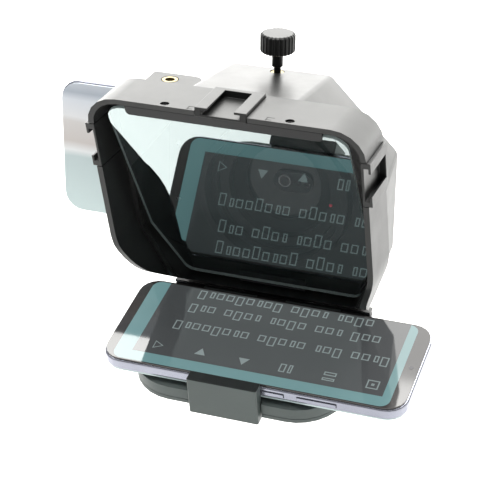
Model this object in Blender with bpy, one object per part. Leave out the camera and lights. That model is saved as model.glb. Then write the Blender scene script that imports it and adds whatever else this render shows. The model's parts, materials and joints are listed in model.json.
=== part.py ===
"""Smartphone teleprompter: hood, beam-splitter glass, fold-down display tray and rear phone clamp.

Millimetres throughout, scaled to metres when a mesh is made. X runs across, Y back, Z up. The origin is
on the underside of the tripod foot, below the housing's rear face.
"""

import math

import bmesh
import bpy
from mathutils import Matrix, Vector

MM = 0.001
GAP = 0.3                   # between touching pieces
WALL = 2.8                  # hood and housing skin
ARC_STEPS = 5               # segments in a rounded corner

# Lens axis and rear housing
AXIS_Z = 71.0
REAR_TOP_HALF = 26.0
REAR_HALF = 62.0
REAR_TOP = 137.0
SIDE_TOP = 101.0
SIDE_LOW = 49.0
BASE_HALF = 48.0
BASE_Z = 14.0
LENS_HOLE_R = 40.7

# Hood: a band whose front rim leans towards the talent
HOOD_HALF = 68.2
HOOD_TOP = 145.8
HOOD_CORNER_R = 16.0
RIM_TOP_Y = -88.4
RIM_SLOPE = 0.3206          # how far the rim goes back for each unit down
BAND_DEPTH = 29.5
HOOD_LOW = 56.0             # below this the sides draw in towards the hinge
HOOD_BASE_HALF = 53.5
RIM_FOOT = (-54.7, 40.6)    # (y, z) of the rim's lower corner
RIM_FOOT_R = 55.0
HINGE_NOSE = (-8.5, 14.0)   # (y, z) where the lower edge meets the housing's floor

# Beam-splitter glass
GLASS_LEAN = math.radians(32.7)
GLASS_FOOT = (-7.4, 19.6)
GLASS_TALL = 143.5
GLASS_HALF = 59.0
GLASS_FOOT_HALF = 47.5
GLASS_TAPER_END = 42.0
GLASS_T = 1.6

# Display tray, hinged under the housing's nose
HINGE_Y = -6.9
HINGE_Z = 9.3
TRAY_TILT = math.radians(12.0)
HINGE_HALF = 54.0
KNUCKLE_R = 3.0
PIN_R = 1.3
PIN_CLEAR = 0.05
TRAY_HALF = 56.0
TRAY_FRONT = -75.5
TRAY_BACK = -4.4
TRAY_CORNER_R = 25.0
TRAY_TOP = -2.6
TRAY_SEAM = -8.8
TRAY_LOW = -11.2
JAW_HALF = 18.4
JAW_FACE = -79.4
JAW_REAR = -72.9
JAW_LOW = -13.2
JAW_HIGH = 9.0
JAW_WALL = 2.4
TONGUE_HALF = 11.0
TONGUE_BACK = -34.0
DRUM_AT = (-24.5, -6.3)     # (y, z) of the spring drum behind the tongue
DRUM_R = 2.7

# Phones
PHONE_LONG = 160.0
PHONE_T = 8.0
PHONE_R = 11.0
DISPLAY_WIDE = 65.7
DISPLAY_SHIFT = 11.0        # the display phone sits off centre in the tray
DISPLAY_BACK = -6.8         # its rear edge and underside in tray coordinates
DISPLAY_UNDER = -0.8
CAMERA_WIDE = 76.2
CAMERA_LEFT = -128.0
CAMERA_FRONT = 11.2
CAMERA_LOW = 34.3

# Hinge knuckles along X
FIXED_KNUCKLES = [(-HINGE_HALF, -38.0), (-8.0, 8.0), (38.0, HINGE_HALF)]
MOVING_KNUCKLES = [(-37.7, -8.3), (8.3, 37.7)]

# Rear phone clamp
CLAMP_INSERT_AT = (-64.9, 12.3)
CLAMP_LEFT = -77.0
CLAMP_RIGHT = -48.5
CLAMP_FRONT = 3.3
CLAMP_BACK = 10.8
CLAMP_HOOK = (19.5, 21.3)   # depth of the lips behind the phone
CLAMP_FLOOR = 26.3
CLAMP_BODY_TOP = 103.0
JAW_UNDER = 111.0
JAW_TOP = 118.5
ROD_X = (-70.0, -55.5)
ROD_Y = 7.0
ROD_R = 1.2
ROD_FOOT = 58.0
SPRING_TOP = 96.0
REAR_SCREWS = [(-54.5, 58.0), (-54.5, 90.0)]

# Tripod foot
FOOT_HALF = 16.0
FOOT_BACK = 20.0
FOOT_T = 4.0
FOOT_SCREWS = [(-10.0, 19.0), (10.0, 19.0)]

# Bar that holds the glass's top edge
BAR_HALF = 48.0
BAR_LOW = 137.8
BAR_SCREW_X = (-28.4, 32.3)
BAR_SCREW_Y = -84.9
BAR_SCREW_R = 1.9

# Thumb screw
SCREW_Y = -6.0
SCREW_R = 2.8
THREAD_R = 1.75
SCREW_INSERT_R = 3.4
COLLAR_R = 40.4             # adapter ring's collar, which the screw presses on
KNOB_R = 8.8
KNOB_LOW = 148.2
KNOB_HIGH = 158.0

# Cold shoes
SHOE_HALF = 12.5
SHOE_LONG = 28.0
SHOE_RAIL = 1.8             # the rails stand this far out of the hood
SHOE_FLOOR = -1.6
SLOT_HALF = 9.4
MOUTH_HALF = 6.6
SIDE_SHOE_Z = 117.0

COLOURS = {
    "black_plastic": ((0.030, 0.032, 0.031), 0.42, 0.0),
    "dark_metal": ((0.045, 0.045, 0.048), 0.35, 0.8),
    "brass": ((0.72, 0.56, 0.26), 0.3, 1.0),
    "steel": ((0.55, 0.55, 0.56), 0.3, 1.0),
    "rubber": ((0.018, 0.018, 0.019), 0.8, 0.0),
    "splitter_glass": ((0.55, 0.75, 0.74), 0.05, 0.0),
    "phone_glass": ((0.02, 0.022, 0.025), 0.08, 0.0),
    "phone_frame": ((0.62, 0.66, 0.78), 0.25, 0.6),
    "phone_back": ((0.80, 0.83, 0.86), 0.12, 0.0),
    "lens_black": ((0.01, 0.01, 0.014), 0.1, 0.0),
}


# ---------------------------------------------------------------- helpers

def clear_scene():
    for old in list(bpy.data.objects):
        bpy.data.objects.remove(old, do_unlink=True)


def material(name):
    found = bpy.data.materials.get(name)
    if found:
        return found
    colour, roughness, metallic = COLOURS[name]
    made = bpy.data.materials.new(name)
    made.use_nodes = True
    shader = made.node_tree.nodes["Principled BSDF"]
    shader.inputs["Base Color"].default_value = (*colour, 1.0)
    shader.inputs["Roughness"].default_value = roughness
    shader.inputs["Metallic"].default_value = metallic
    return made


def make(name, bm, look, frame=Matrix.Identity(4)):
    """Turn a bmesh in millimetres into an object whose origin is the frame's."""
    bmesh.ops.recalc_face_normals(bm, faces=bm.faces)
    bmesh.ops.scale(bm, vec=(MM, MM, MM), verts=bm.verts)
    mesh = bpy.data.meshes.new(name)
    bm.to_mesh(mesh)
    bm.free()
    mesh.shade_smooth()
    mesh.set_sharp_from_angle(angle=math.radians(32))
    if look:
        mesh.materials.append(material(look))
    made = bpy.data.objects.new(name, mesh)
    bpy.context.collection.objects.link(made)
    place = frame.copy()
    place.translation = frame.translation * MM
    made.matrix_world = place
    return made


def at(x, y, z):
    return Matrix.Translation((x, y, z))


def rounded(corners, steps=ARC_STEPS):
    """Closed outline from (a, b, radius) corners, each radius turned into an arc."""
    outline = []
    count = len(corners)
    for index, (a, b, radius) in enumerate(corners):
        here = Vector((a, b))
        if radius <= 0:
            outline.append(here)
            continue
        before = Vector(corners[index - 1][:2]) - here
        after = Vector(corners[(index + 1) % count][:2]) - here
        before.normalize()
        after.normalize()
        half = before.angle(after) / 2
        reach = radius / math.tan(half)
        centre = here + (before + after).normalized() * (radius / math.sin(half))
        start = here + before * reach - centre
        turn = start.angle_signed(here + after * reach - centre)
        for step in range(steps + 1):
            angle = -turn * step / steps
            outline.append(centre + Matrix.Rotation(angle, 2) @ start)
    return outline


def box_outline(a0, a1, b0, b1, radius=0.0):
    return rounded([(a0, b0, radius), (a1, b0, radius), (a1, b1, radius), (a0, b1, radius)])


def circle(radius, steps, centre=(0.0, 0.0)):
    ring = []
    for step in range(steps):
        angle = 2 * math.pi * step / steps
        ring.append(Vector((centre[0] + radius * math.cos(angle), centre[1] + radius * math.sin(angle))))
    return ring


def lift(point, height, plane):
    if plane == "XY":
        return (point[0], point[1], height)
    if plane == "XZ":
        return (point[0], height, point[1])
    return (height, point[0], point[1])


def bridge(bm, loops, cap=True):
    """Skin a stack of equal-length closed loops."""
    rings = [[bm.verts.new(point) for point in loop] for loop in loops]
    count = len(rings[0])
    for low, high in zip(rings, rings[1:]):
        for i in range(count):
            j = (i + 1) % count
            bm.faces.new((low[i], low[j], high[j], high[i]))
    if cap:
        bm.faces.new(rings[0][::-1])
        bm.faces.new(rings[-1])
    return bm


def prism(outline, low, high, plane="XY"):
    loops = [[lift(point, height, plane) for point in outline] for height in (low, high)]
    return bridge(bmesh.new(), loops)


def turned(profile, steps=32, plane="XY", centre=(0.0, 0.0)):
    """Revolve a closed (radius, height) profile about the plane's normal."""
    bm = bmesh.new()
    rings = []
    for radius, height in profile:
        if radius == 0:
            rings.append([bm.verts.new(lift(centre, height, plane))])
        else:
            rings.append([bm.verts.new(lift(p, height, plane)) for p in circle(radius, steps, centre)])
    for index, ring in enumerate(rings):
        following = rings[(index + 1) % len(rings)]
        for i in range(steps):
            j = (i + 1) % steps
            if len(ring) == 1 and len(following) == 1:
                break
            if len(ring) == 1:
                bm.faces.new((ring[0], following[j], following[i]))
            elif len(following) == 1:
                bm.faces.new((ring[i], ring[j], following[0]))
            else:
                bm.faces.new((ring[i], ring[j], following[j], following[i]))
    return bm


def rod(radius, low, high, plane="XY", centre=(0.0, 0.0), steps=20):
    return prism(circle(radius, steps, centre), low, high, plane)


def helix(radius, wire, low, high, turns, centre, steps=12, sides=6):
    """A coil spring standing along Z."""
    loops = []
    total = int(turns * steps)
    for index in range(total + 1):
        angle = 2 * math.pi * index / steps
        height = low + (high - low) * index / total
        middle = Vector((centre[0] + radius * math.cos(angle), centre[1] + radius * math.sin(angle), height))
        out = Vector((math.cos(angle), math.sin(angle), 0.0))
        up = Vector((0.0, 0.0, 1.0))
        loops.append([
            middle + wire * (out * math.cos(2 * math.pi * k / sides) + up * math.sin(2 * math.pi * k / sides))
            for k in range(sides)
        ])
    return bridge(bmesh.new(), loops)


def combine(target, bm, operation, frame=None):
    """Add a hidden cutter or addition and a Boolean modifier that uses it."""
    name = f"{target.name}_tool_{len(target.modifiers)}"
    tool = make(name, bm, None, frame or Matrix.Identity(4))
    tool.hide_render = True
    tool.display_type = "WIRE"
    boolean = target.modifiers.new(name, "BOOLEAN")
    boolean.operation = operation
    boolean.solver = "EXACT"
    boolean.object = tool
    return target


def cut(target, bm, frame=None):
    return combine(target, bm, "DIFFERENCE", frame)


def join(target, bm, frame=None):
    return combine(target, bm, "UNION", frame)


def keep(target, bm, frame=None):
    return combine(target, bm, "INTERSECT", frame)


def soften(target, width, segments=2, angle=35):
    bevel = target.modifiers.new("edge", "BEVEL")
    bevel.width = width * MM
    bevel.segments = segments
    bevel.limit_method = "ANGLE"
    bevel.angle_limit = math.radians(angle)
    return target


# ---------------------------------------------------------------- hood and housing

def rim_y(z):
    return RIM_TOP_Y + (HOOD_TOP - z) * RIM_SLOPE


def seam_y(z):
    return rim_y(z) + BAND_DEPTH


def mirrored(half_corners):
    """Complete a right-hand run of (x, z, r) corners, listed downwards, with its left-hand twin."""
    return half_corners + [(-x, z, r) for x, z, r in reversed(half_corners)]


def band_corners(inset):
    return mirrored([
        (HOOD_HALF - inset, HOOD_TOP - inset, HOOD_CORNER_R - inset),
        (HOOD_HALF - inset, HOOD_LOW, 40.0),
        (HOOD_BASE_HALF - inset, BASE_Z + inset, 2.0),
    ])


def housing_section(corners, y_of_z):
    return [(p[0], y_of_z(p[1]), p[1]) for p in rounded(corners, 3)]


def front_corners(inset):
    return mirrored([
        (27.0 - inset * 0.4, HOOD_TOP - 1.6 - inset, 4.0),
        (66.3 - inset, 94.0 - inset * 0.4, 5.0),
        (66.6 - inset, HOOD_LOW - 1.0, 8.0),
        (HOOD_BASE_HALF - 1.0 - inset, BASE_Z + 2.0 + inset, 3.0),
    ])


def rear_corners(inset):
    return mirrored([
        (REAR_TOP_HALF - inset * 0.4, REAR_TOP - inset, 4.0),
        (REAR_HALF - inset, SIDE_TOP - inset * 0.4, 5.0),
        (REAR_HALF - inset, SIDE_LOW, 4.0),
        (BASE_HALF - inset, BASE_Z + inset, 3.0),
    ])


def housing_loft(inset, front_push, rear):
    """Skin between the leaning seam and the upright rear face."""
    front = housing_section(front_corners(inset), lambda z: seam_y(z) + front_push)
    back = housing_section(rear_corners(inset), lambda z: rear)
    return bridge(bmesh.new(), [front, back])


def band_prism(inset, front_push, back_push):
    outline = rounded(band_corners(inset))
    loops = [[(p[0], edge(p[1]) + push, p[1]) for p in outline]
             for edge, push in ((rim_y, front_push), (seam_y, back_push))]
    return bridge(bmesh.new(), loops)


def side_window():
    """Side view of the shell: leaning rim, rounded foot, lower edge running down to the hinge."""
    outline = rounded([
        (rim_y(170.0) - 3.0, 170.0, 0.0),
        (*RIM_FOOT, RIM_FOOT_R),
        (*HINGE_NOSE, 2.0),
        (10.0, BASE_Z - 0.01, 0.0),
        (10.0, 170.0, 0.0),
    ], 7)
    return prism(outline, -90.0, 90.0, "YZ")


def shoe_frames():
    """Frame and skew of each cold shoe: X across the slot, Y along it, Z out of the hood."""
    top = at(0.0, rim_y(HOOD_TOP), HOOD_TOP)
    right = at(HOOD_HALF, rim_y(SIDE_SHOE_Z), SIDE_SHOE_Z) @ Matrix.Rotation(math.pi / 2, 4, "Y")
    left = at(-HOOD_HALF, rim_y(SIDE_SHOE_Z), SIDE_SHOE_Z) @ Matrix.Rotation(-math.pi / 2, 4, "Y")
    return {"top": (top, 0.0), "right": (right, RIM_SLOPE), "left": (left, -RIM_SLOPE)}


def shoe_pocket(skew):
    """What is taken out of the hood wall for a shoe insert."""
    return prism(skewed(SHOE_HALF + GAP, -20.0, SHOE_LONG + GAP, skew), -WALL - 1.0, 5.0)


def hood_frame():
    body = make("hood_frame", band_prism(0.0, 0.0, 0.0), "black_plastic")
    keep(body, side_window())
    cut(body, band_prism(WALL, -3.0, -WALL))
    cut(body, housing_loft(WALL, -12.0, 20.0))
    for frame, skew in shoe_frames().values():
        cut(body, shoe_pocket(skew), frame)
    for x in BAR_SCREW_X:
        cut(body, rod(BAR_SCREW_R + GAP, HOOD_TOP - 6.0, HOOD_TOP + 2.0, "XY", (x, BAR_SCREW_Y), 16))
    return body


def rear_housing():
    body = make("rear_housing", housing_loft(0.0, GAP, 0.0), "black_plastic")
    cut(body, housing_loft(WALL, -10.0, -3.0))
    keep(body, side_window())
    cut(body, rod(LENS_HOLE_R, -8.0, 4.0, "XZ", (0.0, AXIS_Z), 48))
    cut(body, rod(SCREW_INSERT_R + GAP, REAR_TOP - 8.0, REAR_TOP + 8.0, "XY", (0.0, SCREW_Y), 20))
    for x, z in REAR_SCREWS + FOOT_SCREWS:
        cut(body, rod(1.4, -6.0, 3.0, "XZ", (x, z), 12))
    return body


def skewed(half, front, back, skew):
    """Four-cornered outline whose front and back edges follow the leaning rim."""
    return [Vector((x, y + skew * x)) for x, y in ((-half, front), (half, front), (half, back), (-half, back))]


def cold_shoe(name, frame, skew):
    """Channel with two inturned rails, open at the rim, where an accessory slides in."""
    body = make(name, prism(skewed(SHOE_HALF, 0.0, SHOE_LONG, skew), -WALL, SHOE_RAIL), "black_plastic", frame)
    cut(body, prism(skewed(SLOT_HALF, -2.0, SHOE_LONG - 3.0, skew), SHOE_FLOOR, SHOE_FLOOR + 2.2), frame)
    cut(body, prism(skewed(MOUTH_HALF, -2.0, SHOE_LONG - 3.0, skew), SHOE_FLOOR, SHOE_RAIL + 2.0), frame)
    return body


def glass_frame():
    """X across, Y up the glass from its foot, Z towards the talent."""
    up = Vector((0.0, -math.sin(GLASS_LEAN), math.cos(GLASS_LEAN)))
    out = Vector((1.0, 0.0, 0.0)).cross(up)
    turn = Matrix((Vector((1, 0, 0)), up, out)).transposed().to_4x4()
    return at(0.0, *GLASS_FOOT) @ turn


def beam_splitter_glass():
    outline = rounded(mirrored([
        (GLASS_HALF, GLASS_TALL, 9.0),
        (GLASS_HALF, GLASS_TAPER_END, 6.0),
        (GLASS_FOOT_HALF, 0.0, 6.0),
    ]))
    return make("beam_splitter_glass", prism(outline, -GLASS_T, 0.0), "splitter_glass", glass_frame())


def glass_holders():
    under = HOOD_TOP - WALL - GAP
    side = [Vector(point) for point in (
        (rim_y(under) + 0.5, under), (rim_y(BAR_LOW) + 0.5, BAR_LOW), (-83.7, BAR_LOW), (-85.3, 140.4),
        (-83.9, 141.6), (-82.2, under),
    )]
    bar = make("glass_top_bar", prism(side, -BAR_HALF, BAR_HALF, "YZ"), "black_plastic")
    keep(bar, prism(box_outline(-BAR_HALF, BAR_HALF, BAR_LOW, BAR_LOW + 12.0, 2.2), -95.0, -75.0, "XZ"))
    for side_name, x in zip(("left", "right"), BAR_SCREW_X):
        head = rod(BAR_SCREW_R, HOOD_TOP - WALL, HOOD_TOP - 0.8, "XY", (x, BAR_SCREW_Y), 16)
        screw = make(f"bar_screw_{side_name}", head, "dark_metal")
        cut(screw, rod(0.9, HOOD_TOP - 1.8, HOOD_TOP, "XY", (x, BAR_SCREW_Y), 6))

    frame = glass_frame()
    back = -GLASS_T - GAP
    clip = make("glass_foot_clip", prism(box_outline(-18.0, 18.0, -1.7, 5.0), back - 1.2, back),
                "black_plastic", frame)
    join(clip, prism(box_outline(-18.0, 18.0, -1.7, -0.3), back - 1.2, 0.8), frame)


# ---------------------------------------------------------------- lens adapter and thumb screw

def lens_rings():
    axis = at(0.0, 0.0, AXIS_Z)
    adapter = [(36.5, -11.0), (COLLAR_R, -11.0), (COLLAR_R, GAP), (46.0, GAP), (46.0, 3.6), (36.5, 3.6)]
    make("adapter_ring", turned(adapter, 56, "XZ"), "black_plastic", axis)
    step = [(33.0, -3.0), (36.2, -3.0), (36.2, 3.6), (30.5, 3.6), (30.5, 7.4), (27.5, 7.4), (27.5, 0.8),
            (33.0, 0.8)]
    make("step_ring", turned(step, 48, "XZ"), "black_plastic", axis)
    mask = [(20.8, 7.7), (30.5, 7.7), (30.5, 10.4), (20.8, 10.4)]
    make("lens_mask", turned(mask, 48, "XZ"), "rubber", axis)


def knob_outline():
    """Ribbed grip: shallow grooves all round."""
    outline = []
    for rib in range(24):
        for part, radius in ((0.0, KNOB_R), (0.5, KNOB_R), (0.62, KNOB_R - 0.55), (0.88, KNOB_R - 0.55)):
            angle = 2 * math.pi * (rib + part) / 24
            outline.append(Vector((radius * math.cos(angle), radius * math.sin(angle))))
    return outline


def thumb_screw():
    axis = at(0.0, SCREW_Y, 0.0)
    pad_top = AXIS_Z + COLLAR_R + 3.5
    rims = []
    for height, shrink in ((KNOB_LOW, 1.0), (KNOB_LOW + 0.9, 0.0), (KNOB_HIGH - 0.9, 0.0), (KNOB_HIGH, 1.0)):
        scale = (KNOB_R - shrink) / KNOB_R
        rims.append([(p[0] * scale, p[1] * scale, height) for p in knob_outline()])
    make("thumb_screw_knob", bridge(bmesh.new(), rims), "black_plastic", axis)
    shaft = [(0, pad_top + GAP), (THREAD_R, pad_top + GAP), (THREAD_R, 140.2), (SCREW_R, 140.8),
             (SCREW_R, KNOB_LOW - GAP), (0, KNOB_LOW - GAP)]
    make("thumb_screw_shaft", turned(shaft, 20), "dark_metal", axis)
    make("thumb_screw_pad", rod(2.4, pad_top - 2.0, pad_top), "brass", axis)
    insert = [(THREAD_R + PIN_CLEAR, 134.6), (SCREW_INSERT_R, 134.6), (SCREW_INSERT_R, 137.3),
              (THREAD_R + PIN_CLEAR, 137.3)]
    make("thumb_screw_insert", turned(insert, 20), "brass", axis)


# ---------------------------------------------------------------- display tray

def tray_frame():
    return at(0.0, HINGE_Y, HINGE_Z) @ Matrix.Rotation(TRAY_TILT, 4, "X")


def hinge():
    frame = at(0.0, HINGE_Y, HINGE_Z)
    plate_low = KNUCKLE_R + GAP
    plate_high = BASE_Z - GAP - HINGE_Z
    bracket = make("hinge_bracket", prism(box_outline(-3.1, 3.1, plate_low, plate_high), -HINGE_HALF,
                                          HINGE_HALF, "YZ"), "black_plastic", frame)
    for low, high in FIXED_KNUCKLES:
        join(bracket, prism(box_outline(-1.6, 1.6, 1.0, plate_low + 0.4), low, high, "YZ"), frame)
        join(bracket, rod(KNUCKLE_R, low, high, "YZ", (0.0, 0.0), 24), frame)
    cut(bracket, rod(PIN_R + PIN_CLEAR, -70.0, 70.0, "YZ", (0.0, 0.0), 20), frame)
    make("hinge_pin", rod(PIN_R, -HINGE_HALF - 0.6, HINGE_HALF + 0.6, "YZ", (0.0, 0.0), 20), "steel", frame)


def tray_outline():
    return rounded([
        (-TRAY_HALF, TRAY_FRONT, TRAY_CORNER_R),
        (TRAY_HALF, TRAY_FRONT, TRAY_CORNER_R),
        (TRAY_HALF, TRAY_BACK, 2.0),
        (-TRAY_HALF, TRAY_BACK, 2.0),
    ], 7)


def tray():
    frame = tray_frame()
    notch = JAW_HALF + 0.6
    jaw_room = prism(box_outline(-notch, notch, TRAY_FRONT - 4.0, JAW_REAR + GAP), -20.0, 5.0)
    channel = prism(box_outline(-TONGUE_HALF - GAP, TONGUE_HALF + GAP, -90.0, TONGUE_BACK + 4.0), -7.9, -4.5)
    drum_room = rod(DRUM_R + GAP, -6.0, 6.0, "YZ", DRUM_AT, 20)

    upper = make("tray_upper_shell", prism(tray_outline(), TRAY_SEAM + GAP / 2, TRAY_TOP), "black_plastic", frame)
    join(upper, prism(box_outline(-50.0, 50.0, TRAY_BACK - 2.0, TRAY_BACK), TRAY_SEAM + 1.0, 3.0), frame)
    for low, high in MOVING_KNUCKLES:
        join(upper, prism(box_outline(TRAY_BACK - 1.0, 0.4, -2.6, 1.0), low, high, "YZ"), frame)
        join(upper, rod(KNUCKLE_R, low, high, "YZ", (0.0, 0.0), 24), frame)
    cut(upper, rod(PIN_R + PIN_CLEAR, -70.0, 70.0, "YZ", (0.0, 0.0), 20), frame)
    for tool in (jaw_room.copy(), channel, drum_room.copy()):
        cut(upper, tool, frame)

    lower = make("tray_lower_shell", prism(tray_outline(), TRAY_LOW, TRAY_SEAM - GAP / 2), "black_plastic", frame)
    for tool in (jaw_room, drum_room):
        cut(lower, tool, frame)

    make("tray_spring_drum", rod(DRUM_R, -5.5, 5.5, "YZ"), "steel", frame @ at(0.0, *DRUM_AT))
    for side, x in (("left", -34.0), ("right", 34.0)):
        pad = prism(box_outline(x - 9.0, x + 9.0, -60.0, -14.0, 3.0), TRAY_TOP + GAP, DISPLAY_UNDER - GAP)
        make(f"tray_pad_{side}", pad, "rubber", frame)


def tray_jaw():
    """Box-shaped jaw, open towards the phone, on a tongue that slides in the tray."""
    frame = tray_frame()
    outer = rounded([
        (-JAW_HALF, JAW_FACE, 0.8), (JAW_HALF, JAW_FACE, 0.8), (JAW_HALF, JAW_REAR, 0.0),
        (-JAW_HALF, JAW_REAR, 0.0),
    ], 2)
    jaw = make("tray_jaw", prism(outer, JAW_LOW, JAW_HIGH), "black_plastic", frame)
    inner_half = JAW_HALF - JAW_WALL
    pocket = box_outline(-inner_half, inner_half, JAW_FACE + JAW_WALL, JAW_REAR + 3.0)
    cut(jaw, prism(pocket, JAW_LOW - 5.0, JAW_HIGH - 1.4), frame)
    tongue = box_outline(-TONGUE_HALF, TONGUE_HALF, JAW_FACE + 1.0, TONGUE_BACK)
    join(jaw, prism(tongue, -7.6, -4.8), frame)
    pad = box_outline(-inner_half + GAP, inner_half - GAP, JAW_FACE + JAW_WALL + GAP, JAW_REAR + 0.1)
    make("tray_jaw_pad", prism(pad, DISPLAY_UNDER, JAW_HIGH - 1.4 - GAP), "rubber", frame)


# ---------------------------------------------------------------- phones

def phone(prefix, frame, wide, keys, face):
    """Slab phone: X along it, Y across, Z from its back to its display."""
    outline = box_outline(0.0, PHONE_LONG, 0.0, wide, PHONE_R)
    inner = box_outline(0.9, PHONE_LONG - 0.9, 0.9, wide - 0.9, PHONE_R - 0.9)
    frame_body = make(f"{prefix}_frame", prism(outline, 1.1, PHONE_T - 1.1), "phone_frame", frame)
    soften(frame_body, 1.2, 3)
    make(f"{prefix}_back", prism(inner, 0.0, 0.8), face, frame)
    make(f"{prefix}_display", prism(inner, PHONE_T - 0.8, PHONE_T), "phone_glass", frame)
    for key, (low, high) in keys.items():
        room = box_outline(low - GAP, high + GAP, -1.0, 2.0)
        cut(frame_body, prism(room, PHONE_T / 2 - 1.2, PHONE_T / 2 + 1.2), frame)
        cap = prism(box_outline(low, high, -0.6, 1.4), PHONE_T / 2 - 0.9, PHONE_T / 2 + 0.9)
        make(f"{prefix}_{key}_key", cap, "phone_frame", frame)


def display_phone_frame():
    left = DISPLAY_SHIFT - PHONE_LONG / 2
    return tray_frame() @ at(left, DISPLAY_BACK - DISPLAY_WIDE, DISPLAY_UNDER)


def camera_phone_frame():
    turn = Matrix((Vector((-1, 0, 0)), Vector((0, 0, 1)), Vector((0, 1, 0)))).transposed().to_4x4()
    return at(CAMERA_LEFT + PHONE_LONG, CAMERA_FRONT, CAMERA_LOW) @ turn


def phones():
    phone("display_phone", display_phone_frame(), DISPLAY_WIDE,
          {"power": (88.0, 99.0), "volume": (106.0, 126.0)}, "phone_back")
    phone("camera_phone", camera_phone_frame(), CAMERA_WIDE,
          {"power": (20.0, 31.0), "volume": (38.0, 58.0)}, "phone_back")
    bump = make("camera_phone_bump", prism(box_outline(-6.0, 15.0, AXIS_Z - 5.0, AXIS_Z + 6.5, 5.5),
                                           CAMERA_FRONT - 1.8, CAMERA_FRONT - GAP, "XZ"), "phone_frame")
    cut(bump, rod(3.3 + GAP, 0.0, 20.0, "XZ", (0.0, AXIS_Z + 0.75), 24))
    make("camera_phone_lens", rod(3.3, CAMERA_FRONT - 1.6, CAMERA_FRONT - GAP, "XZ", (0.0, AXIS_Z + 0.75), 24),
         "lens_black")


# ---------------------------------------------------------------- rear clamp and foot

def countersunk(name, x, z, plate_back):
    """Screw with its head sunk in a plate behind the housing's rear wall."""
    profile = [(0, -2.6), (1.1, -2.6), (1.1, plate_back - 1.9), (2.2, plate_back - 0.9), (2.2, plate_back - 0.2),
               (0, plate_back - 0.2)]
    made = make(name, turned(profile, 16, "XZ", (x, z)), "steel")
    return cut(made, rod(0.8, plate_back - 1.2, plate_back + 1.0, "XZ", (x, z), 6))


def screw_room(plate, x, z, plate_back):
    profile = [(0, -1.0), (1.4, -1.0), (1.4, plate_back - 2.3), (2.5, plate_back - 1.1), (2.5, plate_back + 1.0),
               (0, plate_back + 1.0)]
    return cut(plate, turned(profile, 16, "XZ", (x, z)))


def clamp():
    bracket = make("clamp_bracket", prism(box_outline(-61.0, -47.5, 50.0, 99.0, 2.0), GAP, CLAMP_FRONT - GAP,
                                          "XZ"), "dark_metal")
    for label, (x, z) in zip(("low", "high"), REAR_SCREWS):
        screw_room(bracket, x, z, CLAMP_FRONT - GAP)
        countersunk(f"bracket_screw_{label}", x, z, CLAMP_FRONT - GAP)

    hook_front, hook_back = CLAMP_HOOK
    side = rounded([
        (CLAMP_FRONT, CLAMP_FLOOR, 1.0),
        (hook_back, CLAMP_FLOOR, 1.0),
        (hook_back, CAMERA_LOW + 6.0, 0.8),
        (hook_front, CAMERA_LOW + 6.0, 0.8),
        (hook_front, CAMERA_LOW - 0.5, 0.0),
        (CLAMP_BACK, CAMERA_LOW - 0.5, 0.0),
        (CLAMP_BACK, CLAMP_BODY_TOP, 1.0),
        (CLAMP_FRONT, CLAMP_BODY_TOP, 1.0),
    ], 2)
    body = make("clamp_body", prism(side, CLAMP_LEFT, CLAMP_RIGHT, "YZ"), "black_plastic")
    for x in ROD_X:
        cut(body, rod(2.8, ROD_FOOT - 4.0, SPRING_TOP + GAP, "XY", (x, ROD_Y), 16))
        cut(body, rod(ROD_R + PIN_CLEAR, SPRING_TOP - 1.0, CLAMP_BODY_TOP + 4.0, "XY", (x, ROD_Y), 16))

    top = rounded([
        (CLAMP_LEFT, 2.6, 1.0), (CLAMP_RIGHT, 2.6, 6.0), (CLAMP_RIGHT, hook_back, 6.0),
        (CLAMP_LEFT, hook_back, 1.0),
    ])
    jaw = make("clamp_jaw", prism(top, JAW_UNDER, JAW_TOP), "black_plastic")
    lip = box_outline(CLAMP_LEFT + 2.0, CLAMP_RIGHT - 6.0, hook_front, hook_back)
    join(jaw, prism(lip, JAW_UNDER - 7.0, JAW_UNDER + 1.0))
    cut(jaw, rod(4.2 + GAP, JAW_TOP - 5.0, JAW_TOP + 2.0, "XY", CLAMP_INSERT_AT, 24))
    soften(jaw, 0.5)
    brass = [(2.6, JAW_TOP - 4.7), (4.2, JAW_TOP - 4.7), (4.2, JAW_TOP - 0.1), (2.6, JAW_TOP - 0.1)]
    make("clamp_insert", turned(brass, 24, "XY", CLAMP_INSERT_AT), "brass")

    for label, x in zip(("left", "right"), ROD_X):
        profile = [(0, ROD_FOOT), (2.3, ROD_FOOT), (2.3, ROD_FOOT + 1.6), (ROD_R, ROD_FOOT + 1.6),
                   (ROD_R, JAW_UNDER - GAP), (0, JAW_UNDER - GAP)]
        make(f"clamp_rod_{label}", turned(profile, 16, "XY", (x, ROD_Y)), "steel")
        spring = helix(1.95, 0.32, ROD_FOOT + 2.3, SPRING_TOP - 0.6, 9, (x, ROD_Y))
        make(f"clamp_spring_{label}", spring, "steel")


def tripod_foot():
    side = rounded([
        (-3.0, 0.0, 0.8), (FOOT_BACK, 0.0, 0.8), (FOOT_BACK, FOOT_T, 0.8), (GAP + 3.0, FOOT_T, 1.5),
        (GAP + 3.0, 24.0, 0.8), (GAP, 24.0, 0.0), (GAP, FOOT_T, 0.0), (-3.0, FOOT_T, 0.0),
    ], 2)
    foot = make("tripod_foot", prism(side, -FOOT_HALF, FOOT_HALF, "YZ"), "dark_metal")
    cut(foot, rod(4.7 + GAP, -2.0, FOOT_T + 2.0, "XY", (0.0, 12.0), 24))
    profile = [(3.1, 0.1), (4.7, 0.1), (4.7, FOOT_T), (3.1, FOOT_T)]
    make("foot_insert", turned(profile, 24, "XY", (0.0, 12.0)), "brass")
    for label, (x, z) in zip(("left", "right"), FOOT_SCREWS):
        screw_room(foot, x, z, GAP + 3.0)
        countersunk(f"foot_screw_{label}", x, z, GAP + 3.0)


# ---------------------------------------------------------------- everything

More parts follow.
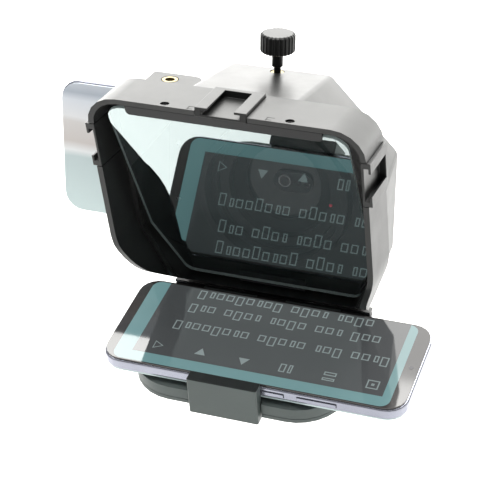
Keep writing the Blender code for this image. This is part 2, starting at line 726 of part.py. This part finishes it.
def build():
    clear_scene()
    hood_frame()
    rear_housing()
    for side, (frame, skew) in shoe_frames().items():
        cold_shoe(f"cold_shoe_{side}", frame, skew)
    beam_splitter_glass()
    glass_holders()
    lens_rings()
    thumb_screw()
    hinge()
    tray()
    tray_jaw()
    phones()
    clamp()
    tripod_foot()


build()
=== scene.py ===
import json
import math

import bpy
from mathutils import Matrix, Vector

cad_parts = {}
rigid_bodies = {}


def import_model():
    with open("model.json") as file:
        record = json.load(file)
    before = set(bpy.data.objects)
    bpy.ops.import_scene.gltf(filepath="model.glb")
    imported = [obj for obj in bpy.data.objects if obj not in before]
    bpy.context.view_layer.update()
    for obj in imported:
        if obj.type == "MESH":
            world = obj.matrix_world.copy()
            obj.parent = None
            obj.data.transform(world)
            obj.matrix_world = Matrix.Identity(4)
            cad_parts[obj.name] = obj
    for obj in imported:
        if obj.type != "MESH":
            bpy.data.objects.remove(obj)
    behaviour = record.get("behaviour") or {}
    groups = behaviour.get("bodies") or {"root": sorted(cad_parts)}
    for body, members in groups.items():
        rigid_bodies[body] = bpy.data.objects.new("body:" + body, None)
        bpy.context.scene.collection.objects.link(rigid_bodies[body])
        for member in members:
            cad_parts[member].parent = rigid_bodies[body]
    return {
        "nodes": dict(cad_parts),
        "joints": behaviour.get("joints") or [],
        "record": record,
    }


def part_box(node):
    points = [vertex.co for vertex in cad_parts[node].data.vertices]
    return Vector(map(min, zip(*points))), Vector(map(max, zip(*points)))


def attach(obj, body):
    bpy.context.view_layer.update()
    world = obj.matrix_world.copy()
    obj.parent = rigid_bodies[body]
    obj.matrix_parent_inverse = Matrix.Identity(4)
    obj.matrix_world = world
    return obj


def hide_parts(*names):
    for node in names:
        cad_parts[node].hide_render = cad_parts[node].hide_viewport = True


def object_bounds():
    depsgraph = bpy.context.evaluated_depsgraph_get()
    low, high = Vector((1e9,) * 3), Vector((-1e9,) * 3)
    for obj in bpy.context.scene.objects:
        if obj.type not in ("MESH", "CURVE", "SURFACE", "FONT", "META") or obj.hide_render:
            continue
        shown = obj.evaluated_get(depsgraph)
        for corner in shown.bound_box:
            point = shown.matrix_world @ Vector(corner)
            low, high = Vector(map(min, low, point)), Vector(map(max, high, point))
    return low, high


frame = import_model()
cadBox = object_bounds()
millimetre = 0.001
print("frame loaded:", len(frame["nodes"]), "nodes")


# places that the frame gives

joints = {joint["name"]: joint for joint in frame["joints"]}
hingeAt = Vector(joints["tray_fold"]["pos_m"])
ringAt = Vector(joints["adapter_ring_spin"]["pos_m"])
slideAxis = Vector(joints["tray_jaw_slide"]["axis"])
trayTilt = math.asin(-slideAxis.z)
trayPlace = Matrix.Translation(hingeAt) @ Matrix.Rotation(trayTilt, 4, "X")


# working habits

def deselectAll():
    if bpy.context.mode != "OBJECT":
        bpy.ops.object.mode_set(mode="OBJECT")
    bpy.ops.object.select_all(action="DESELECT")


def pickOnly(piece):
    deselectAll()
    piece.select_set(True)
    bpy.context.view_layer.objects.active = piece


def editAll(piece):
    pickOnly(piece)
    bpy.ops.object.mode_set(mode="EDIT")
    bpy.ops.mesh.select_all(action="SELECT")


def doneEditing():
    bpy.ops.object.mode_set(mode="OBJECT")


def selectEdges(piece, test):
    # the test is given the two ends of each edge
    pickOnly(piece)
    bpy.ops.object.mode_set(mode="EDIT")
    bpy.ops.mesh.select_mode(type="EDGE")
    bpy.ops.mesh.select_all(action="DESELECT")
    bpy.ops.object.mode_set(mode="OBJECT")
    points = [vertex.co for vertex in piece.data.vertices]
    for edge in piece.data.edges:
        edge.select = test(points[edge.vertices[0]], points[edge.vertices[1]])
    bpy.ops.object.mode_set(mode="EDIT")


def addModifier(piece, kind, **settings):
    pickOnly(piece)
    modifier = piece.modifiers.new(kind.lower(), kind)
    for key, value in settings.items():
        setattr(modifier, key, value)
    bpy.ops.object.modifier_apply(modifier=modifier.name)
    return piece


def smooth(piece, degrees=35):
    pickOnly(piece)
    bpy.ops.object.shade_smooth_by_angle(angle=math.radians(degrees))
    return piece


def settle(piece, place=None):
    # moves the place into the mesh and leaves the object at the origin
    pickOnly(piece)
    bpy.ops.object.transform_apply(location=True, rotation=True, scale=True)
    if place:
        piece.data.transform(place)
    return piece


def finishPiece(piece, body, slotName, *paints):
    piece.data.materials.clear()
    for paint in paints:
        piece.data.materials.append(paint)
    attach(piece, body)
    return piece


def bodyOf(node):
    return frame["nodes"][node].parent.name.replace("body:", "")


def refinedCopy(node, paint, slotName, width, segments=3, degrees=30):
    # a node's own shape with its hard edges broken as a mould leaves them
    source = frame["nodes"][node]
    piece = bpy.data.objects.new(f"{node}_fine", source.data.copy())
    bpy.context.collection.objects.link(piece)
    editAll(piece)
    bpy.ops.mesh.remove_doubles(threshold=0.000002)
    bpy.ops.mesh.customdata_custom_splitnormals_clear()
    bpy.ops.mesh.dissolve_limited(angle_limit=math.radians(0.6))
    doneEditing()
    addModifier(piece, "BEVEL", width=width, segments=segments, limit_method="ANGLE",
                angle_limit=math.radians(degrees), use_clamp_overlap=True, harden_normals=False)
    smooth(piece, 32)
    addModifier(piece, "WEIGHTED_NORMAL", keep_sharp=True)
    body = bodyOf(node)
    finishPiece(piece, body, slotName, paint)
    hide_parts(node)
    return piece


# shader maths

class Wire:
    # a value inside a material; sums on wires add Math nodes
    def __init__(self, recipe, socket):
        self.recipe = recipe
        self.socket = socket

    def combine(self, operation, first, second):
        return self.recipe.node("ShaderNodeMath", {"operation": operation}, {0: first, 1: second})[0]

    def __add__(self, other):
        return self.combine("ADD", self, other)

    def __radd__(self, other):
        return self.combine("ADD", other, self)

    def __sub__(self, other):
        return self.combine("SUBTRACT", self, other)

    def __rsub__(self, other):
        return self.combine("SUBTRACT", other, self)

    def __mul__(self, other):
        return self.combine("MULTIPLY", self, other)

    def __rmul__(self, other):
        return self.combine("MULTIPLY", other, self)

    def __gt__(self, other):
        return self.combine("GREATER_THAN", self, other)


class Recipe:
    # one material and the nodes that are put into it
    def __init__(self, name):
        self.material = bpy.data.materials.new(name)
        self.material.use_nodes = True
        self.tree = self.material.node_tree
        self.shader = self.tree.nodes["Principled BSDF"]

    def node(self, kind, settings=None, sockets=None):
        made = self.tree.nodes.new(kind)
        for key, value in (settings or {}).items():
            if key == "stops":
                self.setStops(made, value)
            else:
                setattr(made, key, value)
        for key, value in (sockets or {}).items():
            if isinstance(value, Wire):
                self.tree.links.new(value.socket, made.inputs[key])
            else:
                made.inputs[key].default_value = value
        return [Wire(self, socket) for socket in made.outputs]

    def setStops(self, ramp, stops):
        elements = ramp.color_ramp.elements
        while len(elements) < len(stops):
            elements.new(0.5)
        for element, (position, colour) in zip(elements, stops):
            element.position = position
            element.color = (*colour, 1.0)

    def feed(self, **values):
        for name, value in values.items():
            socket = self.shader.inputs[name.replace("_", " ")]
            if isinstance(value, Wire):
                self.tree.links.new(value.socket, socket)
            else:
                socket.default_value = value
        return self

    def place(self, scale=(1, 1, 1), turn=(0, 0, 0), move=(0, 0, 0)):
        coordinates = self.node("ShaderNodeTexCoord")[3]
        return self.node("ShaderNodeMapping", {}, {
            "Vector": coordinates, "Scale": scale, "Rotation": turn, "Location": move,
        })[0]

    def noise(self, scale, detail=3.0, roughness=0.5, vector=None):
        return self.node("ShaderNodeTexNoise", {}, {
            "Vector": vector or self.place(), "Scale": scale, "Detail": detail, "Roughness": roughness,
        })[0]

    def blendColours(self, amount, first, second):
        return self.node("ShaderNodeMix", {"data_type": "RGBA"}, {
            0: amount, 6: first if isinstance(first, Wire) else (*first, 1.0),
            7: second if isinstance(second, Wire) else (*second, 1.0),
        })[2]

    def bump(self, height, strength, depth):
        return self.node("ShaderNodeBump", {}, {
            "Height": height, "Strength": strength, "Distance": depth,
        })[0]


def shaded(colour, factor):
    return tuple(channel * factor for channel in colour)


# finishes

plasticLooks = {
    "hoodPlastic": {"colour": (0.013, 0.0135, 0.0132), "rough": 0.36, "grain": 2400.0, "depth": 0.00001},
    "trayPlastic": {"colour": (0.080, 0.098, 0.094), "rough": 0.45, "grain": 1900.0, "depth": 0.000012},
    # painted shade: a darker plastic for the jaw's upper faces
    "jawTop": {"colour": (0.010, 0.013, 0.013), "rough": 0.6, "grain": 1900.0, "depth": 0.000012},
    "ringPlastic": {"colour": (0.008, 0.008, 0.009), "rough": 0.42, "grain": 2600.0, "depth": 0.000008},
    "softRubber": {"colour": (0.008, 0.008, 0.0085), "rough": 0.78, "grain": 1400.0, "depth": 0.00002},
}


def mouldedPlastic(name):
    # spark-eroded satin plastic: fine grain, faint cloudiness, rubbed patches slightly glossier
    look = plasticLooks[name]
    recipe = Recipe(name)
    cloud = recipe.noise(22.0, 4.0)
    rubbed = recipe.noise(90.0, 5.0, 0.6)
    grain = recipe.noise(look["grain"], 2.0, 0.7)
    recipe.feed(
        Base_Color=recipe.blendColours(cloud, shaded(look["colour"], 0.8), shaded(look["colour"], 1.25)),
        Roughness=look["rough"] + (cloud - 0.5) * 0.08 + (rubbed - 0.5) * 0.1 + (grain - 0.5) * 0.06,
        Specular_IOR_Level=0.36,
        Normal=recipe.bump(grain, 0.5, look["depth"]),
    )
    return recipe.material


metalLooks = {
    "brassTurned": {"colour": (0.34, 0.28, 0.15), "rough": 0.42, "stretch": (1, 1, 30)},
    "steelPlain": {"colour": (0.56, 0.56, 0.57), "rough": 0.3, "stretch": (1, 1, 12)},
    "blackenedMetal": {"colour": (0.05, 0.05, 0.052), "rough": 0.38, "stretch": (1, 1, 1)},
}


def workedMetal(name):
    look = metalLooks[name]
    recipe = Recipe(name)
    marks = recipe.noise(420.0, 3.0, 0.6, recipe.place(scale=look["stretch"]))
    stain = recipe.noise(160.0, 4.0)
    recipe.feed(
        Base_Color=recipe.blendColours(stain, shaded(look["colour"], 0.78), shaded(look["colour"], 1.08)),
        Metallic=1.0,
        Roughness=look["rough"] + (marks - 0.5) * 0.18,
        Normal=recipe.bump(marks, 0.3, 0.00001),
    )
    return recipe.material


def anodisedFrame():
    # pale blue polished band of the phones
    recipe = Recipe("anodisedFrame")
    cloud = recipe.noise(60.0)
    recipe.feed(
        Base_Color=recipe.blendColours(cloud, (0.29, 0.30, 0.36), (0.37, 0.38, 0.44)),
        Metallic=0.85,
        Roughness=0.2 + (cloud - 0.5) * 0.06,
    )
    return recipe.material


def pearlBack():
    # the back glass of the rear phone: painted reflections in soft bands of grey, sand and sea green down
    # its height
    low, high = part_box("camera_phone_back")
    recipe = Recipe("pearlBack")
    height = recipe.node("ShaderNodeSeparateXYZ", {}, {0: recipe.place()})[2]
    drift = (recipe.noise(9.0, 2.0) - 0.5) * 0.02
    level = recipe.node("ShaderNodeMapRange", {}, {
        0: height + drift, 1: low.z, 2: high.z, 3: 0.0, 4: 1.0,
    })[0]
    # painted reflection: these bands stand in for what the polished back glass reflects
    reflectionBands = recipe.node("ShaderNodeValToRGB", {"stops": [
        (0.0, (0.60, 0.72, 0.72)), (0.38, (0.52, 0.62, 0.63)), (0.43, (0.80, 0.82, 0.83)),
        (0.50, (0.60, 0.56, 0.54)), (0.66, (0.66, 0.64, 0.63)), (0.70, (0.78, 0.79, 0.81)),
        (0.84, (0.70, 0.74, 0.80)), (0.90, (0.42, 0.47, 0.54)), (1.0, (0.62, 0.66, 0.72)),
    ]}, {0: level})[0]
    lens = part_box("camera_phone_lens")
    away = recipe.node("ShaderNodeVectorMath", {"operation": "DISTANCE"}, {
        0: recipe.place(), 1: tuple((lens[0] + lens[1]) / 2),
    })[1]
    recipe.feed(
        Base_Color=recipe.blendColours(away > 0.026, (0.012, 0.013, 0.015), reflectionBands),
        Roughness=0.12 + (recipe.noise(40.0) - 0.5) * 0.05,
    )
    return recipe.material


def coverGlass(name, colour, glow=(0, 0, 0), strength=0.0):
    # what is seen under the phone's polished cover
    recipe = Recipe(name)
    smears = recipe.noise(35.0, 5.0, 0.65)
    recipe.feed(
        Base_Color=recipe.blendColours(smears, shaded(colour, 0.92), shaded(colour, 1.08)),
        Roughness=0.05 + (smears - 0.5) * 0.04,
        Emission_Color=(*glow, 1.0),
        Emission_Strength=strength,
        IOR=1.52,
    )
    return recipe.material


splitterLook = {"mirror": (0.86, 0.98, 0.98), "share": 0.48, "edge": (0.62, 0.74, 0.73)}


def splitterMirror():
    recipe = Recipe("splitterMirror")
    haze = recipe.noise(18.0, 4.0)
    recipe.feed(
        Base_Color=recipe.blendColours(haze, shaded(splitterLook["mirror"], 0.97), splitterLook["mirror"]),
        Metallic=1.0, Roughness=0.012, Alpha=splitterLook["share"],
    )
    return recipe.material


def splitterRear():
    recipe = Recipe("splitterRear")
    dust = recipe.noise(260.0, 3.0)
    recipe.feed(Base_Color=(0.02, 0.05, 0.05, 1.0), Roughness=0.03, Alpha=0.06 + (dust - 0.5) * 0.02)
    return recipe.material


def splitterEdge():
    recipe = Recipe("splitterEdge")
    chips = recipe.noise(700.0, 3.0)
    recipe.feed(
        Base_Color=recipe.blendColours(chips, shaded(splitterLook["edge"], 0.7), splitterLook["edge"]),
        Roughness=0.25 + (chips - 0.5) * 0.2,
        # the emission is a painted glow: painted light along the pane's edge
        Emission_Color=(0.5, 0.62, 0.61, 1.0), Emission_Strength=0.03,
    )
    return recipe.material


hoodPlastic = mouldedPlastic("hoodPlastic")
trayPlastic = mouldedPlastic("trayPlastic")
jawTop = mouldedPlastic("jawTop")
ringPlastic = mouldedPlastic("ringPlastic")
softRubber = mouldedPlastic("softRubber")
brassTurned = workedMetal("brassTurned")
steelPlain = workedMetal("steelPlain")
blackenedMetal = workedMetal("blackenedMetal")
phoneBand = anodisedFrame()
paintedReflectionFinish = pearlBack()
bezelGlass = coverGlass("bezelGlass", (0.032, 0.029, 0.029))
screenDark = coverGlass("screenDark", (0.030, 0.030, 0.032), (0.30, 0.33, 0.34), 0.16)
screenTeal = coverGlass("screenTeal", (0.05, 0.08, 0.08), (0.40, 0.78, 0.82), 0.28)
screenMarks = coverGlass("screenMarks", (0.05, 0.06, 0.06), (0.72, 0.86, 0.86), 0.28)
lensGlass = coverGlass("lensGlass", (0.012, 0.010, 0.020))
# a red dot whose glow is painted light
alignmentRed = coverGlass("alignmentRed", (0.45, 0.02, 0.05), (0.8, 0.05, 0.1), 0.25)
print("finishes made")


# CAD nodes that keep their shape

nodeFinish = {
    "hinge_pin": steelPlain, "thumb_screw_shaft": blackenedMetal, "thumb_screw_pad": brassTurned,
    "thumb_screw_insert": brassTurned, "tray_spring_drum": steelPlain, "tray_jaw_pad": softRubber,
    "tray_pad_left": softRubber, "tray_pad_right": softRubber, "clamp_spring_left": steelPlain,
    "clamp_spring_right": steelPlain, "clamp_rod_left": steelPlain, "clamp_rod_right": steelPlain,
    "bracket_screw_low": steelPlain, "bracket_screw_high": steelPlain, "foot_screw_left": steelPlain,
    "foot_screw_right": steelPlain, "bar_screw_left": blackenedMetal, "bar_screw_right": blackenedMetal,
    "foot_insert": brassTurned, "clamp_insert": brassTurned, "camera_phone_lens": lensGlass,
    "camera_phone_frame": phoneBand, "display_phone_frame": phoneBand, "camera_phone_bump": blackenedMetal,
    "display_phone_power_key": phoneBand, "display_phone_volume_key": phoneBand,
    "camera_phone_power_key": phoneBand, "camera_phone_volume_key": phoneBand,
    "camera_phone_back": paintedReflectionFinish, "display_phone_back": paintedReflectionFinish, "camera_phone_display": bezelGlass,
    "display_phone_display": bezelGlass, "lens_mask": softRubber,
}
for nodeName, finish in nodeFinish.items():
    for materialSlot in frame["nodes"][nodeName].material_slots:
        materialSlot.material = finish


# moulded parts with broken edges

mouldedParts = {
    "hood_frame": (hoodPlastic, 0.0006), "rear_housing": (hoodPlastic, 0.0008),
    "cold_shoe_top": (hoodPlastic, 0.0003), "cold_shoe_left": (hoodPlastic, 0.0003),
    "cold_shoe_right": (hoodPlastic, 0.0003), "glass_top_bar": (ringPlastic, 0.0003),
    "glass_foot_clip": (ringPlastic, 0.0002), "hinge_bracket": (ringPlastic, 0.0003),
    "adapter_ring": (ringPlastic, 0.0003), "step_ring": (ringPlastic, 0.0003),
    "thumb_screw_knob": (hoodPlastic, 0.00015), "tray_upper_shell": (trayPlastic, 0.0006),
    "tray_lower_shell": (trayPlastic, 0.0006), "tray_jaw": (trayPlastic, 0.0005),
    "clamp_body": (hoodPlastic, 0.0005), "clamp_jaw": (hoodPlastic, 0.0005),
    "tripod_foot": (blackenedMetal, 0.0004), "clamp_bracket": (blackenedMetal, 0.0003),
}
recordSlots = {part["node"]: part["material_slot"] for part in frame["record"]["subparts"]}
for nodeName, (finish, width) in mouldedParts.items():
    refinedCopy(nodeName, finish, recordSlots[nodeName], width)


def shadeJawUpperFaces():
    # the clamp jaw's upper faces get a darker material than its outer face: painted shade on its top
    piece = bpy.data.objects["tray_jaw_fine"]
    piece.data.materials.append(jawTop)
    up = trayPlace.to_3x3() @ Vector((0, 0, 1))
    for face in piece.data.polygons:
        if face.normal.dot(up) > 0.6:
            face.material_index = 1


shadeJawUpperFaces()
print("moulded parts refined:", len(mouldedParts))


# beam-splitter glass

def beamSplitter():
    # half-silvered towards the talent, clear behind, ground and polished round its edge, which carries a
    # faint painted glow
    source = frame["nodes"]["beam_splitter_glass"]
    piece = bpy.data.objects.new("splitter_pane", source.data.copy())
    bpy.context.collection.objects.link(piece)
    editAll(piece)
    bpy.ops.mesh.remove_doubles(threshold=0.000002)
    bpy.ops.mesh.customdata_custom_splitnormals_clear()
    bpy.ops.mesh.dissolve_limited(angle_limit=math.radians(0.6))
    doneEditing()
    addModifier(piece, "BEVEL", width=0.00025, segments=1, limit_method="ANGLE",
                angle_limit=math.radians(60))
    largest = sorted(piece.data.polygons, key=lambda face: -face.area)[:2]
    for face in piece.data.polygons:
        face.use_smooth = False
    front = min(largest, key=lambda face: face.normal.y)
    back = max(largest, key=lambda face: face.normal.y)
    frontIndex = front.index
    backIndex = back.index
    finishPiece(piece, "housing", "splitter_glass", splitterMirror(), splitterRear(), splitterEdge())
    for face in piece.data.polygons:
        face.material_index = 2
    piece.data.polygons[frontIndex].material_index = 0
    piece.data.polygons[backIndex].material_index = 1
    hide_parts("beam_splitter_glass")


beamSplitter()
print("glass done")


# what the display phone shows, in the tray's own measures

screen = {
    "top": 7.23,
    "lit": (-62.5, 82.6, -71.0, -8.6),
    "window": (-53.5, 78.0, -64.0, -8.6),
    "rows": ((-36.0, -38.0, (8, 5, 3, 5)), (-21.5, -35.0, (3, 4, 4, 3, 3)), (-10.0, -34.0, (9, 4, 4))),
    "pitch": 5.5,
    "glyph": 3.9,
    "stroke": 0.66,
    "icons": (-42.5, -19.0, 4.0, 26.5, 49.0, 71.3),
    "iconRow": -57.0,
}


def flatPlate(name, left, right, front, back, top, thick, corner=0.0):
    # a thin plate in millimetres, its upright edges rounded
    size = Vector((right - left, back - front, thick)) * millimetre
    middle = Vector(((left + right) / 2, (front + back) / 2, top - thick / 2)) * millimetre
    deselectAll()
    bpy.ops.mesh.primitive_cube_add(size=1, location=middle)
    plate = bpy.context.object
    plate.name = name
    plate.scale = size
    settle(plate)
    if corner:
        selectEdges(plate, lambda a, b: abs(a.z - b.z) > thick * millimetre / 2)
        bpy.ops.mesh.bevel(offset=corner * millimetre, segments=8, affect="EDGES")
        doneEditing()
    return plate


def outlineMarks(name, boxes, stroke):
    # hollow placeholder boxes, all in one thin sheet
    deselectAll()
    bpy.ops.mesh.primitive_plane_add(size=1)
    marks = bpy.context.object
    marks.name = name
    bpy.ops.object.mode_set(mode="EDIT")
    bpy.ops.mesh.delete(type="VERT")
    for x, y, width, height in boxes:
        at = Vector((x, y, screen["top"] + 0.05)) * millimetre
        bpy.ops.mesh.select_all(action="DESELECT")
        bpy.ops.mesh.primitive_plane_add(size=millimetre, location=at)
        bpy.ops.transform.resize(value=(width, height, 1), center_override=at)
    bpy.ops.mesh.select_all(action="SELECT")
    bpy.ops.mesh.inset(thickness=stroke * millimetre, use_individual=True)
    bpy.ops.mesh.delete(type="FACE")
    doneEditing()
    return addModifier(marks, "SOLIDIFY", thickness=0.00004, offset=-1)


def glyphBoxes():
    boxes = []
    for baseline, start, words in screen["rows"]:
        x = start
        for word, letters in enumerate(words):
            for letter in range(letters):
                tall = 6.9 if (letter * 5 + word * 3) % 4 == 0 else 4.8
                narrow = 0.62 if (letter * 7 + word) % 5 == 2 else 1.0
                boxes.append((x, baseline - tall / 2, screen["glyph"] * narrow, tall))
                x += screen["pitch"] * (0.45 + 0.55 * narrow)
            x += screen["pitch"] * 0.7
    return [box for box in boxes if box[0] < screen["window"][1] - 3]


def triangleMark(name, x, y, radius, turn, hollow):
    at = Vector((x, y, screen["top"] + 0.05)) * millimetre
    deselectAll()
    bpy.ops.mesh.primitive_circle_add(vertices=3, radius=radius * millimetre, fill_type="NGON", location=at,
                                      rotation=(0, 0, turn))
    mark = bpy.context.object
    mark.name = name
    settle(mark)
    if hollow:
        editAll(mark)
        bpy.ops.mesh.inset(thickness=0.0004)
        bpy.ops.mesh.delete(type="FACE")
        doneEditing()
    return addModifier(mark, "SOLIDIFY", thickness=0.00004, offset=-1)


def joinPieces(pieces, name):
    pickOnly(pieces[0])
    for piece in pieces:
        piece.select_set(True)
    bpy.ops.object.join()
    bpy.context.object.name = name
    return bpy.context.object


def displayScreen():
    lit = flatPlate("screen_border", *screen["lit"], screen["top"], 0.06, 5.0)
    window = flatPlate("screen_window", *screen["window"], screen["top"] + 0.03, 0.06)
    rowY = screen["iconRow"]
    icons = screen["icons"]
    boxes = glyphBoxes()
    boxes += [(icons[3] - 1.8, rowY, 3.2, 6.0), (icons[3] + 2.2, rowY, 2.0, 6.0)]
    boxes += [(icons[4], rowY + 1.8, 6.4, 2.6), (icons[4], rowY - 2.2, 6.4, 2.0)]
    boxes += [(icons[5], rowY, 6.2, 6.2), (icons[5], rowY, 1.6, 1.6)]
    marks = [outlineMarks("screen_marks", boxes, screen["stroke"])]
    marks.append(triangleMark("play_mark", icons[0], rowY, 3.4, -math.pi / 2, True))
    marks.append(triangleMark("up_mark", icons[1], rowY, 3.3, 0.0, False))
    marks.append(triangleMark("down_mark", icons[2], rowY, 3.3, math.pi, False))
    marks = joinPieces(marks, "screen_marks")
    eye = flatPlate("front_camera", 85.0, 87.4, -41.2, -38.8, screen["top"] + 0.04, 0.06, 1.1)
    for piece, paint in ((lit, screenTeal), (window, screenDark), (marks, screenMarks), (eye, lensGlass)):
        settle(piece, trayPlace)
        finishPiece(piece, "display_phone", "phone_glass", paint)


cameraDisplay = {
    "border": 2.6,
    "lift": 0.03,
    "thick": 0.06,
    "corner": 8.0,
    "marks": (("release", -66.0, 0.0, 6.0), ("switch", -66.0, 20.0, 3.4), ("gallery", -66.0, -20.0, 3.4)),
    "stroke": 0.00035,
    "flatness": 0.3,
}


def cameraScreen():
    # the rear phone's display: a dark window inside its bezel, with a round release and two round marks
    low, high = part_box("camera_phone_display")
    centre = (low + high) / 2
    place = Matrix.Translation((centre.x, high.y, centre.z)) @ Matrix.Rotation(-math.pi / 2, 4, "X")
    reach = (high - low) * 500
    border = cameraDisplay["border"]
    acrossX, acrossZ = reach.x - border, reach.z - border
    window = flatPlate("camera_window", -acrossX, acrossX, -acrossZ, acrossZ,
                       cameraDisplay["lift"], cameraDisplay["thick"], cameraDisplay["corner"])
    pieces = [(window, screenDark)]
    for name, x, y, radius in cameraDisplay["marks"]:
        deselectAll()
        bpy.ops.mesh.primitive_torus_add(major_radius=radius * millimetre,
                                         minor_radius=cameraDisplay["stroke"],
                                         major_segments=48, minor_segments=8,
                                         location=(x * millimetre, y * millimetre, 0))
        ring = bpy.context.object
        ring.name = f"camera_{name}_mark"
        ring.scale.z = cameraDisplay["flatness"]
        pieces.append((smooth(settle(ring), 60), screenMarks))
    for piece, paint in pieces:
        settle(piece, place)
        finishPiece(piece, "camera_phone", "phone_glass", paint)


displayScreen()
cameraScreen()
print("screens done")


# small things that the eye finds

def turnedRing(name, centre, radius, thickness, along="Y"):
    turn = (math.pi / 2, 0, 0) if along == "Y" else (0, 0, 0)
    deselectAll()
    bpy.ops.mesh.primitive_torus_add(major_radius=radius, minor_radius=thickness, major_segments=64,
                                     minor_segments=12, location=centre, rotation=turn)
    ring = bpy.context.object
    ring.name = name
    return smooth(settle(ring), 60)


lensDetail = {
    "rimLift": 0.0001,
    "rimRadius": 0.0031,
    "rimThick": 0.00035,
    "sideSteps": (0.0075, 0.0125),
    "sideRadius": 0.0013,
    "sideThick": 0.0004,
}


def cameraLensDetail():
    low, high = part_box("camera_phone_lens")
    centre = (low + high) / 2
    rimAt = Vector((centre.x, low.y + lensDetail["rimLift"], centre.z))
    rim = turnedRing("camera_lens_rim", rimAt, lensDetail["rimRadius"], lensDetail["rimThick"])
    finishPiece(rim, "camera_phone", "steel", steelPlain)
    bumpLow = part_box("camera_phone_bump")[0]
    for index, step in enumerate(lensDetail["sideSteps"]):
        eyeAt = Vector((centre.x + step, bumpLow.y, centre.z))
        eye = turnedRing(f"camera_side_lens_{index}", eyeAt, lensDetail["sideRadius"],
                         lensDetail["sideThick"])
        finishPiece(eye, "camera_phone", "lens_black", lensGlass)


redDot = {"x": 0.028, "y": 0.0006, "below": 0.005, "radius": 0.0009, "flatness": 0.4}


def glowingRedDot():
    # a small red dot on the lens adapter ring; its red glow is painted light
    deselectAll()
    bpy.ops.mesh.primitive_uv_sphere_add(segments=20, ring_count=12, radius=redDot["radius"],
                                         location=(redDot["x"], redDot["y"], ringAt.z - redDot["below"]))
    dot = bpy.context.object
    dot.name = "alignment_dot"
    dot.scale.y = redDot["flatness"]
    finishPiece(smooth(settle(dot), 60), "lens_adapter", "brass", alignmentRed)


latches = {
    "places": (("left", -16.5), ("right", 21.5)),
    "half": 0.22,
    "lift": 0.04,
    "thick": 0.1,
    "corner": 0.1,
    "along": (0.6, 4.4),
    "hook": (4.0, 4.45, 3.4),
    "back": (1.2, 1.55, 0.2, 2.6),
}


def latchSlitShade():
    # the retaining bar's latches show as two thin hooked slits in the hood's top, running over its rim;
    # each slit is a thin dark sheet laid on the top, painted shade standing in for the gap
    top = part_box("hood_frame")[1].z * 1000 + latches["lift"]
    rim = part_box("hood_frame")[0].y * 1000
    half, depth = latches["half"], (latches["thick"], latches["corner"])
    alongFront, alongBack = latches["along"]
    hookFront, hookBack, hookEnd = latches["hook"]
    backFront, backBack, backStart, backEnd = latches["back"]
    for side, x in latches["places"]:
        along = flatPlate("latch_along", x - half, x + half, rim + alongFront, rim + alongBack, top, *depth)
        hook = flatPlate("latch_hook", x - half, x + hookEnd, rim + hookFront, rim + hookBack, top, *depth)
        back = flatPlate("latch_back", x + backStart, x + backEnd, rim + backFront, rim + backBack, top,
                         *depth)
        slitShade = joinPieces([along, hook, back], f"latch_slit_{side}")
        finishPiece(slitShade, "housing", "black_plastic", softRubber)


cameraLensDetail()
glowingRedDot()
latchSlitShade()
print("small details done")


# floor, light and camera

studioLook = {
    "floorDrop": 0.12,
    "boxAt": (-0.3, 1.35, 1.0),
    "boxSize": (2.8, 2.5),
    "boxWatts": 108.0,
    "skyAt": (-0.25, 0.25, 1.6),
    "skySize": (1.6, 1.6),
    "skyWatts": 56.0,
    "tint": (1.0, 0.995, 0.97),
    "ambient": 0.4,
}


def softbox(location, size, watts, turn):
    deselectAll()
    bpy.ops.object.light_add(type="AREA", location=location, rotation=turn)
    lamp = bpy.context.object.data
    lamp.shape = "RECTANGLE"
    lamp.size, lamp.size_y = size
    lamp.energy = watts
    lamp.color = studioLook["tint"]


def studio():
    deselectAll()
    bpy.ops.mesh.primitive_plane_add(size=12, location=(0, 0, cadBox[0][2] - studioLook["floorDrop"]))
    floor = bpy.context.object
    floor.name = "studio_floor"
    recipe = Recipe("paleFloor")
    mottling = recipe.noise(3.0)
    pale = recipe.blendColours(mottling, (0.80, 0.80, 0.80), (0.84, 0.84, 0.84))
    recipe.feed(Base_Color=pale, Roughness=0.7)
    floor.data.materials.append(recipe.material)
    softbox(studioLook["boxAt"], studioLook["boxSize"], studioLook["boxWatts"], (-math.pi / 2, 0, 0))
    softbox(studioLook["skyAt"], studioLook["skySize"], studioLook["skyWatts"], (0, 0, 0))
    world = bpy.data.worlds.new("dimRoom")
    world.use_nodes = True
    background = world.node_tree.nodes["Background"]
    background.inputs["Color"].default_value = (1.0, 1.0, 1.0, 1.0)
    background.inputs["Strength"].default_value = studioLook["ambient"]
    bpy.context.scene.world = world
    bpy.context.scene.view_settings.view_transform = "Standard"


cameraLook = {
    "at": (0.2496, -0.7672, 0.4360),
    "towards": (-0.2988, 0.8472, -0.4393),
    "right": (0.9417, 0.3363, 0.0080),
    "lens": 128.4,
}


def photographer():
    forward = Vector(cameraLook["towards"]).normalized()
    right = Vector(cameraLook["right"]).normalized()
    up = right.cross(forward).normalized()
    right = forward.cross(up)
    turn = Matrix((right, up, -forward)).transposed().to_4x4()
    deselectAll()
    bpy.ops.object.camera_add()
    camera = bpy.context.object
    camera.matrix_world = Matrix.Translation(Vector(cameraLook["at"])) @ turn
    camera.data.lens = cameraLook["lens"]
    camera.data.sensor_width = 36.0
    camera.data.clip_start = 0.01
    bpy.context.scene.camera = camera


studio()
photographer()
